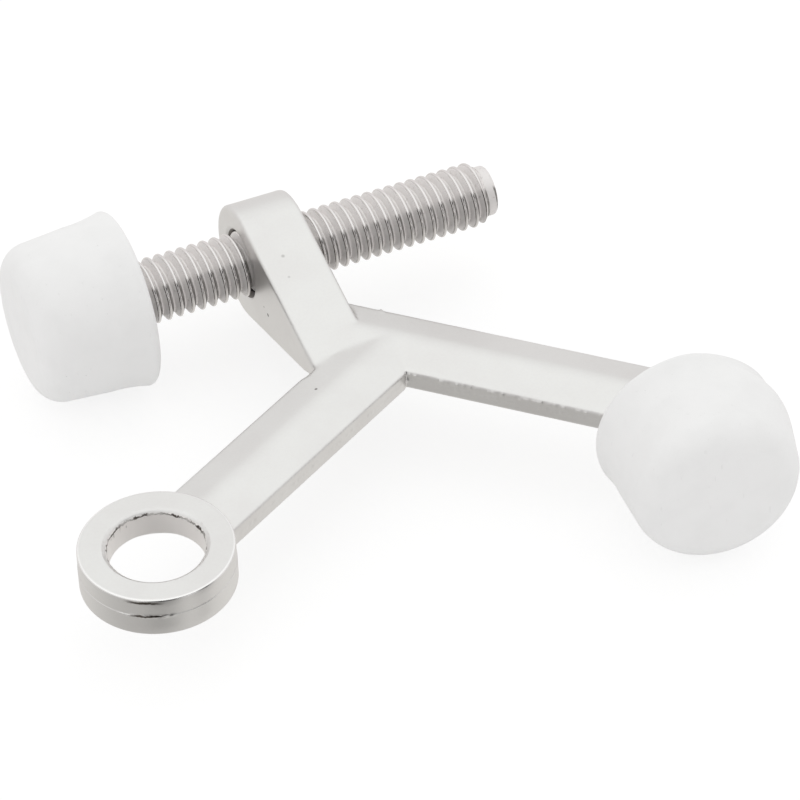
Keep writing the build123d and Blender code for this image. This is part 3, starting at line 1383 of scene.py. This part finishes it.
    def on_parting_line(self, place: Vector) -> float:
        """Where the mould halves left a line: the middle of the arms' side walls.

        Args:
            place: The place.

        Returns:
            How strong the line is there, from 0 to 1.
        """
        if place.y > 24 * MM and place.x < 40 * MM:
            return 0.0
        ring_wall, fixed_wall = (
            abs(abs(arm.across(place)) - arm.width / 2) for arm in (self.ring_arm, self.fixed_arm)
        )
        on_wall = 1 - ramp(min(ring_wall, fixed_wall), 0.1 * MM, 0.2 * MM)
        line = 0.6 * (1 - ramp(abs(place.z), 0.1 * MM, 0.3 * MM))
        if fixed_wall <= 0.2 * MM:
            line = max(line, 1 - ramp(abs(place.z - self.arm_line_z), 0.1 * MM, 0.28 * MM))
        return on_wall * line

    def on_ring_line(self, place: Vector) -> float:
        """Where the mould halves left a line on the ring's wall.

        Args:
            place: The place.

        Returns:
            How strong the line is there, from 0 to 1.
        """
        line = 1 - ramp(abs(place.z - self.ring_line_z), 0.06 * MM, 0.24 * MM)
        front = Vector((place.x, place.y, 0)).normalized().dot(level(self.ring_line_heading))
        return line * (0.02 + 0.98 * ramp(front, 0.90, 0.965))


def seated(origin: Vector, outward: Vector) -> Matrix:
    """A frame with its Z axis along a level direction.

    Args:
        origin: The frame's origin.
        outward: Its Z axis.

    Returns:
        The frame.
    """
    up = Vector((0, 0, 1))
    side = up.cross(outward).normalized()
    turn = Matrix((side, up, outward.normalized())).transposed()
    return Matrix.Translation(origin) @ turn.to_4x4()


@dataclass
class Bumper(SubAssembly):
    """A moulded rubber bumper with a flared lip behind and a rounded nose."""

    tie: Tie
    back: Vector
    facing: Vector
    hole_r: float
    hole_l: float
    pocket_r: float
    pocket_l: float
    length: float = 13.4 * MM
    lip_r: float = 10.598 * MM
    lip_round: float = 0.7 * MM
    neck_r: float = 10.0 * MM
    neck_at: float = 5.2 * MM
    side_r: float = 9.6 * MM
    nose_l: float = 3.3 * MM
    face_r: float = 6.75 * MM
    pocket_clear_r: float = 7 * MM
    flattened: float = 0.0
    filled: float = 0.72 * MM
    flat_side: Vector = field(default_factory=lambda: Vector((1, 0, 0)))
    steps: int = 160

    def outline(self) -> Outline:
        """The bumper's outline, pocket included.

        Returns:
            Points as radii and heights above its back.
        """
        soft = 0.2 * MM
        end = self.hole_l + self.pocket_l
        pocket = [(0, end), (self.pocket_r, end), (self.pocket_r, self.hole_l), (self.hole_r, self.hole_l)]
        mouth = [(self.hole_r, soft), (self.hole_r + 0.3 * soft, 0.3 * soft), (self.hole_r + soft, 0)]
        corner = self.lip_r - self.lip_round
        back = [(corner - 3 * MM, 0), (corner - 0.6 * MM, 0)]
        lip = bow((corner, self.lip_round), (self.lip_round, self.lip_round), 3, 8)
        widen, rise = self.lip_r - self.neck_r, self.neck_at - self.lip_round
        shares = [i / 10 for i in range(1, 11)]
        flare = [(self.neck_r + widen * (1 - share) ** 2, self.lip_round + rise * share) for share in shares]
        nose_at = self.length - self.nose_l
        taper, reach = self.side_r - self.neck_r, nose_at - self.neck_at
        side = [(self.neck_r + taper * i / 5, self.neck_at + reach * i / 5) for i in range(1, 5)]
        nose = bow((self.face_r, nose_at), (self.side_r - self.face_r, self.nose_l), 0, 16)
        face = [(self.face_r * share, self.length) for share in (0.75, 0.5, 0.25, 0)]
        return [*pocket, *mouth, *back, *lip, *flare, *side, *nose, *face]

    def build(self) -> Workpiece:
        """Makes the bumper.

        Returns:
            The finished piece.
        """
        where = seated(self.back, self.facing)
        rubber = Workpiece.lathe(self.tie.node + "_rubber", self.outline(), self.steps, where)
        if self.flattened:
            rubber.weigh("flattened", self.flatness)
            rubber.weigh("filled", self.fullness)
            for group, strength in (("flattened", -self.flattened), ("filled", self.filled)):
                rubber.modify(
                    "DISPLACE", direction="NORMAL", strength=strength, mid_level=0, vertex_group=group
                )
        return rubber

    def depth_and_side(self, place: Vector) -> tuple[float, float]:
        """Where a place of the bumper lies.

        Args:
            place: The place.

        Returns:
            Its depth below the bumper's back, and how far it is on the flat side, from -1 to 1. Places
            inside the pocket count as being on the other side.
        """
        offset = place - self.back
        depth = offset.dot(self.facing)
        outward = offset - self.facing * depth
        if outward.length < self.pocket_clear_r:
            return depth, -1.0
        return depth, outward.normalized().dot(self.flat_side.normalized())

    def flatness(self, place: Vector) -> float:
        """How much a place is pressed in: most on the flat side, close to the back."""
        depth, side = self.depth_and_side(place)
        return (1 - ramp(depth, 1.2 * MM, 5.0 * MM)) * ramp(side, 0.35, 0.95)

    def fullness(self, place: Vector) -> float:
        """How much a place is filled out: most on the flat side, around the neck.

        Args:
            place: The place.

        Returns:
            The share of the filling, from 0 to 1.
        """
        depth, side = self.depth_and_side(place)
        around_neck = ramp(depth, 1.0 * MM, 4.0 * MM) * (1 - ramp(depth, 4.5 * MM, 13.0 * MM))
        return around_neck * ramp(side, 0.55, 0.98)


@dataclass
class Studio:
    """The pale floor, the soft lights and the camera.

    The room is a white dome. It is dimmer low on the left, and has a nearly dark sector in front with a
    narrow lighter slit in it. What lights matt surfaces is dimmed separately, low in front.
    """

    floor_z: float
    eye: Vector = field(default_factory=lambda: Vector((-88.08, -274.48, 275.69)) * MM)
    right: Vector = field(default_factory=lambda: Vector((0.91143, -0.41083, -0.02293)))
    down: Vector = field(default_factory=lambda: Vector((-0.28776, -0.59659, -0.74918)))
    target: Vector = field(default_factory=lambda: Vector((0.03, 0.015, 0)))
    lens_mm: float = 165.82
    horizon: float = 0.82
    zenith: float = 1.04
    low_left: Point = (-0.60, -0.42, -0.68)
    left_dim: float = 0.30
    sector_way: Point = (0.15, -1.0, 0.0)
    sector_dim: float = 0.96
    sector_top: tuple[float, float] = (0.50, 0.70)
    sector_foot: tuple[float, float] = (-0.85, -0.30)
    slit_way: Point = (0.32, -0.95, 0.0)
    low_front: Point = (-0.2, -0.86, -0.45)
    matt_level: float = 0.94
    matt_dim: float = 0.29
    floor_glow: float = 1.12
    white: Colour = (1.0, 1.0, 1.0)
    cool: Colour = (0.995, 1.0, 0.992)
    rosy: Colour = (1.0, 0.975, 0.97)
    warm: Colour = (1.0, 0.978, 0.948)

    def floor(self) -> bpy.types.Object:
        """The plain pale floor, lit from inside a little so that shadows stay faint.

        Returns:
            The floor.
        """
        Workpiece.clear()
        bpy.ops.mesh.primitive_plane_add(size=6, location=(0, 0, self.floor_z))
        floor = Workpiece("studio_floor").settle().obj
        bench = Bench.material("pale_floor")
        matt = bench.node("BsdfDiffuse", {}, {"Color": (0.90, 0.90, 0.90)})
        glow = bench.node("Emission", {}, {"Color": self.white, "Strength": self.floor_glow})
        share = bench.node("LightPath", {}, {}, "Is Camera Ray") * 0.5 + 0.16
        floor.data.materials.append(bench.close(bench.node("MixShader", {}, {0: share, 1: matt, 2: glow})))
        floor.visible_glossy = False
        return floor

    def mirrored(self, bench: Bench, aim: Signal, height: Signal) -> Signal:
        """How bright the room is where it is mirrored.

        Args:
            bench: The world's bench.
            aim: The direction.
            height: The direction's height.

        Returns:
            The brightness.
        """
        room = self.horizon + (self.zenith - self.horizon) * height.rise(0.22, 0.88)
        room = room - self.left_dim * self.towards(bench, aim, self.low_left).most(0.0) ** 2.0
        flat = bench.node("VectorMath", {"operation": "MULTIPLY"}, {0: aim, 1: (1, 1, 0)}, "Vector")
        flat = bench.node("VectorMath", {"operation": "NORMALIZE"}, {0: flat}, "Vector")
        sector = self.towards(bench, flat, self.sector_way).rise(0.66, 0.80)
        sector = sector * height.rise(*self.sector_foot) * height.fall(*self.sector_top)
        slit = self.towards(bench, flat, self.slit_way).rise(0.955, 0.988) * height.fall(0.34, 0.48)
        return (room * (1 - self.sector_dim * sector * (1 - slit))).most(0.02)

    def sky(self) -> None:
        """The room: white to the camera, shaded where it is mirrored, and soft for all other light."""
        bench = Bench(bpy.data.worlds.new("white_room"))
        aim = bench.node("TexCoord", {}, {}, "Generated")
        height = bench.node("SeparateXYZ", {}, {0: aim}, "Z")
        seen = bench.node("LightPath", {}, {}, "Is Camera Ray")
        gloss = bench.node("LightPath", {}, {}, "Is Glossy Ray")
        tint = bench.mix(height.rise(0.1, 0.75), self.rosy, self.cool)
        tint = bench.mix(height.rise(-0.6, 0.0), self.warm, tint)
        tint = bench.mix(seen, tint, self.white)
        soft = self.matt_level - self.matt_dim * self.towards(bench, aim, self.low_front).most(0.0)
        room = self.mirrored(bench, aim, height) * gloss + soft * (1 - gloss)
        strength = room * (1 - seen) + seen
        glow = bench.node("Background", {}, {"Color": tint, "Strength": strength})
        bpy.context.scene.world = bench.close(glow)

    @staticmethod
    def towards(bench: Bench, aim: Signal, way: Point) -> Signal:
        """The cosine of the angle between a direction and a way."""
        unit = tuple(Vector(way).normalized())
        return bench.node("VectorMath", {"operation": "DOT_PRODUCT"}, {0: aim, 1: unit}, "Value")

    def lamp(self, name: str, at: Sequence[float], size: float, watts: float) -> None:
        """A square soft light that points at the object.

        Args:
            name: The lamp's name.
            at: Where it hangs.
            size: Its side.
            watts: Its power.
        """
        data = bpy.data.lights.new(name, "AREA")
        data.size = size
        data.energy = watts
        lamp = bpy.data.objects.new(name, data)
        lamp.location = at
        lamp.rotation_euler = (self.target - Vector(at)).to_track_quat("-Z", "Y").to_euler()
        lamp.visible_glossy = False
        bpy.context.scene.collection.objects.link(lamp)

    def camera(self) -> None:
        """The camera at the viewing angle."""
        data = bpy.data.cameras.new("camera")
        data.sensor_width = 36
        data.lens = self.lens_mm
        data.clip_start = 0.01
        camera = bpy.data.objects.new("camera", data)
        right, up = self.right.normalized(), -self.down.normalized()
        turn = Matrix((right, up, right.cross(up))).transposed().to_4x4()
        camera.matrix_world = Matrix.Translation(self.eye) @ turn
        bpy.context.scene.collection.objects.link(camera)
        bpy.context.scene.camera = camera

    def build(self) -> None:
        """Sets up the whole studio."""
        self.floor()
        self.sky()
        self.lamp("overhead_right", (0.25, 0.25, 0.6), 0.5, 0.35)
        self.lamp("left_side", (-0.6, -0.2, 0.3), 0.4, 0.05)
        self.camera()
        bpy.context.scene.view_settings.view_transform = "Standard"


def main() -> None:
    """Builds the door stop piece by piece, then the studio."""
    logging.basicConfig(level=logging.INFO, format="%(name)s: %(message)s")
    pitch = frame["record"]["behaviour"]["couplings"][0]["ratio"] * 2 * math.pi
    back = Vector(next(j["pos_m"] for j in frame["joints"] if j["name"] == "screw_turn"))
    thread = Thread(pitch, back)
    low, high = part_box("threaded_rod")
    screw = AdjustingScrew(thread, back, high.x, low.x, (high.z - low.z) / 2)
    seat, facing = Vector((61.55, -4.7, 0)) * MM, -98.9
    casting = CastBody(thread, seat, facing)
    tie = Tie("bumper", "adjustable_bumper", "white_rubber", 40)
    moving = Bumper(tie, back, Vector((-1, 0, 0)), 4.08 * MM, 4.45 * MM, 5.75 * MM, 2.5 * MM)
    tie = Tie("body", "fixed_bumper", "white_rubber", 40)
    peg = casting.peg_r, casting.peg_l, casting.peg_head_r, casting.peg_head_t
    fixed = Bumper(tie, seat, level(facing), *peg, flattened=0.5 * MM, flat_side=Vector((0.9, 0, 0.45)))

    nickel = SatinNickel().make()
    steel = PlatedSteel((back.y, back.z), thread.root_r, thread.crest_r, pitch, thread.phase_x).make()
    rubber = WhiteRubber().make()
    for part, finish in ((casting, nickel), (screw, steel), (moving, rubber), (fixed, rubber)):
        part.dress(part.build(), finish)

    Studio(floor_z=CAD_BOX[0].z - 0.02 * MM).build()


if __name__ == "__main__":
    main()
